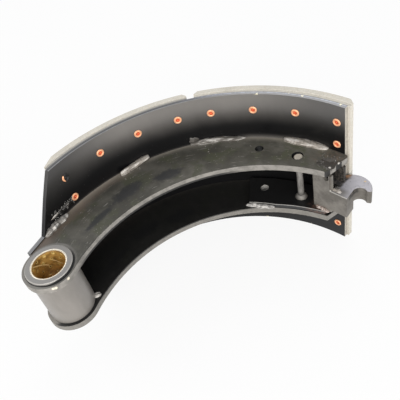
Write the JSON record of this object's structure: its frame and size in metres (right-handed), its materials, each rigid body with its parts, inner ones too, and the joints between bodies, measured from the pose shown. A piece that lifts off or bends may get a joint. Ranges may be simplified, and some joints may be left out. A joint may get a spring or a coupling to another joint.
{
  "type": "brake shoe",
  "caption": "Curved drum-brake shoe with riveted friction linings, twin crescent webs, a bushed anchor sleeve and a cast cam end with a spring hook.",
  "frame": {"origin": "centre of the anchor bore, at the middle of the shoe's width", "axes": "+Z along the anchor bore and the drum's axis, +X from the anchor bore to the centre of the drum, and the linings lie on the +Y side"},
  "size_m": [0.3304, 0.238, 0.19],
  "materials": {
    "table_paint": "satin",
    "web_paint": "satin",
    "sleeve_paint": "satin",
    "friction_lining": "matte",
    "copper_rivets": "satin",
    "bronze": "satin",
    "cast_steel": "matte",
    "weld_steel": "satin"
  },
  "bodies": {
    "root": {"anchor_side_lining": "friction_lining", "anchor_sleeve": "sleeve_paint", "cam_end_casting": "cast_steel", "cam_side_lining": "friction_lining", "casting_weld": "weld_steel", "lower_bush": "bronze", "lower_reinforcing_plate": "web_paint", "lower_sleeve_tack": "weld_steel", "lower_web": "web_paint", "lower_web_weld_1": "weld_steel", "lower_web_weld_2": "weld_steel", "lower_web_weld_3": "weld_steel", "lower_web_weld_4": "weld_steel", "pin_weld": "weld_steel", "plate_weld": "weld_steel", "rivet_anchor_1_1": "copper_rivets", "rivet_anchor_1_2": "copper_rivets", "rivet_anchor_2_1": "copper_rivets", "rivet_anchor_2_2": "copper_rivets", "rivet_anchor_3_1": "copper_rivets", "rivet_anchor_3_2": "copper_rivets", "rivet_anchor_4_1": "copper_rivets", "rivet_anchor_4_2": "copper_rivets", "rivet_anchor_4_3": "copper_rivets", "rivet_anchor_4_4": "copper_rivets", "rivet_cam_1_1": "copper_rivets", "rivet_cam_1_2": "copper_rivets", "rivet_cam_2_1": "copper_rivets", "rivet_cam_2_2": "copper_rivets", "rivet_cam_3_1": "copper_rivets", "rivet_cam_3_2": "copper_rivets", "rivet_cam_4_1": "copper_rivets", "rivet_cam_4_2": "copper_rivets", "rivet_cam_4_3": "copper_rivets", "rivet_cam_4_4": "copper_rivets", "spring_pin": "web_paint", "table": "table_paint", "upper_bush": "bronze", "upper_sleeve_tack": "weld_steel", "upper_web": "web_paint", "upper_web_weld_1": "weld_steel", "upper_web_weld_2": "weld_steel", "upper_web_weld_3": "weld_steel", "upper_web_weld_4": "weld_steel"}
  },
  "joints": []
}
